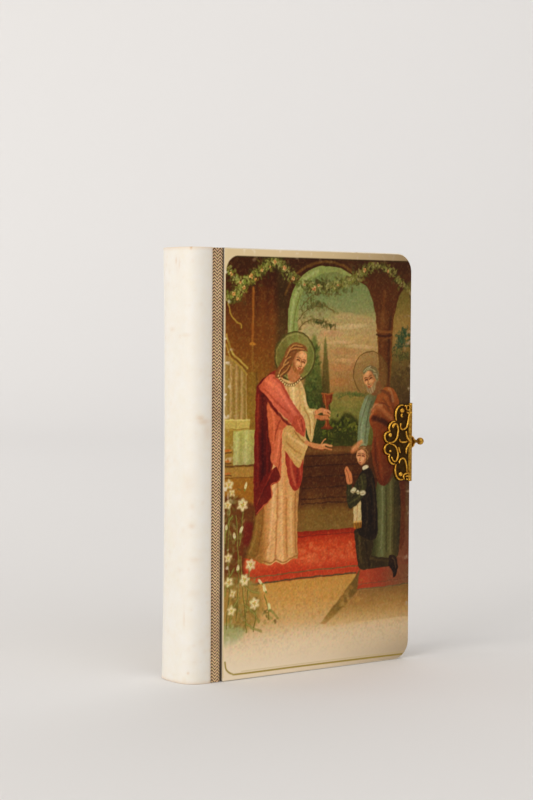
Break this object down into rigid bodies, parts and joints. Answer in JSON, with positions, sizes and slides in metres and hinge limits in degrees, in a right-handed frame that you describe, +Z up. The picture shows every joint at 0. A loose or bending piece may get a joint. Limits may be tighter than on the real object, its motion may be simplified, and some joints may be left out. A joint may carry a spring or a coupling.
{
  "type": "prayer book",
  "caption": "Small upright book with a rounded smooth spine, cloth joints, a pictured front cover and a pierced metal clasp with a ball stud.",
  "frame": {"origin": "middle of the foot of the whole book's bounding box, on the plane it stands on", "axes": "+Z up from the tail to the head, +X from the spine to the fore-edge and the clasp, -Y out of the front cover, +Y out of the back cover"},
  "size_m": [0.0816, 0.0196, 0.115],
  "materials": {
    "ivory_celluloid": "satin, faintly mottled",
    "printed_sheet": "printed colours under a clear gloss film",
    "millboard": "matte",
    "endpaper": "smooth matte",
    "gilt_leaves": "thin book paper, gilt on its cut edges",
    "mull": "open cotton gauze",
    "linen": "plain woven",
    "silk_band": "striped silk",
    "joint_cloth": "ribbed weave, worn",
    "gilt_brass": "stamped and gilt, worn"
  },
  "bodies": {
    "book_block": {"spine_shell": "ivory_celluloid", "spine_lining": "millboard", "spine_mull": "mull", "sewing_tapes": "linen", "sewing_threads": "linen", "headband": "silk_band", "tailband": "silk_band", "middle_gatherings": "gilt_leaves", "turning_folds": "gilt_leaves", "front_joint_cloth": "joint_cloth", "back_joint_cloth": "joint_cloth"},
    "front_cover": {"front_panel": "ivory_celluloid", "front_picture": "printed_sheet", "front_board": "millboard", "front_pastedown": "endpaper", "front_clasp_plate": "gilt_brass", "front_clasp_pins": "gilt_brass", "catch_stud": "gilt_brass"},
    "back_cover": {"back_panel": "ivory_celluloid", "back_board": "millboard", "back_pastedown": "endpaper", "back_clasp_plate": "gilt_brass", "back_clasp_pins": "gilt_brass", "hasp_pin": "gilt_brass"},
    "clasp_hasp": {"hasp": "gilt_brass"},
    "front_flyleaf_leaf": {"front_flyleaf": "endpaper"},
    "first_leaves": {"first_gathering": "gilt_leaves"},
    "second_leaves": {"second_gathering": "gilt_leaves"},
    "back_flyleaf_leaf": {"back_flyleaf": "endpaper"},
    "last_leaves": {"last_gathering": "gilt_leaves"},
    "second_last_leaves": {"second_last_gathering": "gilt_leaves"}
  },
  "joints": [
    {"name": "front_cover_hinge", "type": "hinge", "parent": "book_block", "child": "front_cover", "pos_m": [-0.03163, -0.0088, 0], "axis": [0, 0, -1], "range_deg": [0, 170]},
    {"name": "back_cover_hinge", "type": "hinge", "parent": "book_block", "child": "back_cover", "pos_m": [-0.03163, 0.0088, 0], "axis": [0, 0, 1], "range_deg": [0, 170]},
    {"name": "hasp_hinge", "type": "hinge", "parent": "back_cover", "child": "clasp_hasp", "pos_m": [0.03565, 0.0082, 0.0617], "axis": [0, 0, 1], "range_deg": [0, 170]},
    {"name": "front_flyleaf_turn", "type": "hinge", "parent": "book_block", "child": "front_flyleaf_leaf", "pos_m": [-0.02958, -0.00595, 0], "axis": [0, 0, -1], "range_deg": [0, 85]},
    {"name": "first_gathering_turn", "type": "hinge", "parent": "book_block", "child": "first_leaves", "pos_m": [-0.02927, -0.00573, 0], "axis": [0, 0, -1], "range_deg": [0, 61.2]},
    {"name": "second_gathering_turn", "type": "hinge", "parent": "book_block", "child": "second_leaves", "pos_m": [-0.02898, -0.00477, 0], "axis": [0, 0, -1], "range_deg": [0, 42.5]},
    {"name": "back_flyleaf_turn", "type": "hinge", "parent": "book_block", "child": "back_flyleaf_leaf", "pos_m": [-0.02958, 0.00595, 0], "axis": [0, 0, 1], "range_deg": [0, 85]},
    {"name": "last_gathering_turn", "type": "hinge", "parent": "book_block", "child": "last_leaves", "pos_m": [-0.02927, 0.00573, 0], "axis": [0, 0, 1], "range_deg": [0, 61.2]},
    {"name": "second_last_gathering_turn", "type": "hinge", "parent": "book_block", "child": "second_last_leaves", "pos_m": [-0.02898, 0.00477, 0], "axis": [0, 0, 1], "range_deg": [0, 42.5]}
  ],
  "couplings": [
    {"joint": "front_flyleaf_turn", "follows": "front_cover_hinge", "ratio": 0.5},
    {"joint": "first_gathering_turn", "follows": "front_cover_hinge", "ratio": 0.36},
    {"joint": "second_gathering_turn", "follows": "front_cover_hinge", "ratio": 0.25},
    {"joint": "back_flyleaf_turn", "follows": "back_cover_hinge", "ratio": 0.5},
    {"joint": "last_gathering_turn", "follows": "back_cover_hinge", "ratio": 0.36},
    {"joint": "second_last_gathering_turn", "follows": "back_cover_hinge", "ratio": 0.25}
  ]
}
